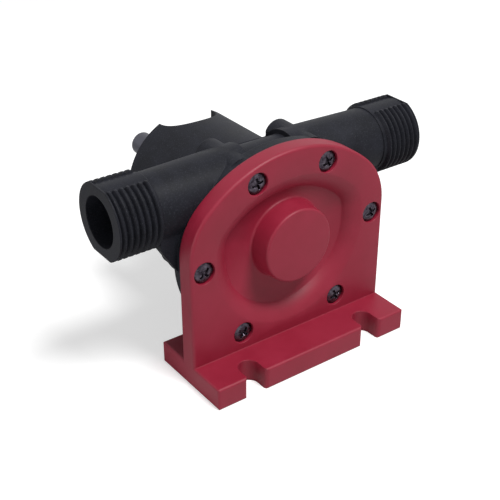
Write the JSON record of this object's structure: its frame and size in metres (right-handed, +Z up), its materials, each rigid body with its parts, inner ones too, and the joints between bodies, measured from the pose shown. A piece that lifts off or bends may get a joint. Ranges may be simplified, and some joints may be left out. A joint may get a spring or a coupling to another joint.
{
  "type": "drill powered pump",
  "caption": "Self-priming pump turned by a drill: arched cover on a slotted foot, housing with opposed threaded hose ports, sleeve round a bare drive shaft.",
  "frame": {"origin": "on the foot's underside, midway between the two hose ports and directly under the joint between cover and housing", "axes": "+X along the hose ports, +Y along the drive shaft and out of the pump's back, +Z up from the foot"},
  "size_m": [0.127, 0.1175, 0.0799],
  "materials": {
    "red_plastic": "fine matte moulded surface, self-coloured dark red",
    "black_plastic": "fine grained moulded surface, black",
    "blackened_steel": "black oxide, slightly oily shine",
    "plain_steel": "plain, lightly brushed",
    "shaft_steel": "ground, satin",
    "bronze": "sintered, oiled",
    "brass": "turned",
    "rubber": "matte black"
  },
  "bodies": {
    "pump": {"front_cover": "red_plastic", "pump_housing": "black_plastic", "cover_seal": "rubber", "cover_screws": "blackened_steel", "wear_plate_front": "plain_steel", "wear_plate_rear": "plain_steel", "front_bush": "bronze", "rear_bush": "bronze", "seal_case": "plain_steel", "seal_lip": "rubber", "seal_spring": "plain_steel", "bush_circlip": "blackened_steel"},
    "rotor": {"drive_shaft": "shaft_steel", "impeller_core": "brass", "impeller": "rubber", "drive_pin": "plain_steel", "thrust_washer_front": "plain_steel", "thrust_washer_rear": "plain_steel", "shaft_circlip": "blackened_steel", "slinger_ring": "rubber"}
  },
  "joints": [
    {"name": "shaft_spin", "type": "hinge", "parent": "pump", "child": "rotor", "pos_m": [0, 0, 0.0451], "axis": [0, 1, 0], "continuous": true, "deforming": ["impeller"]}
  ]
}
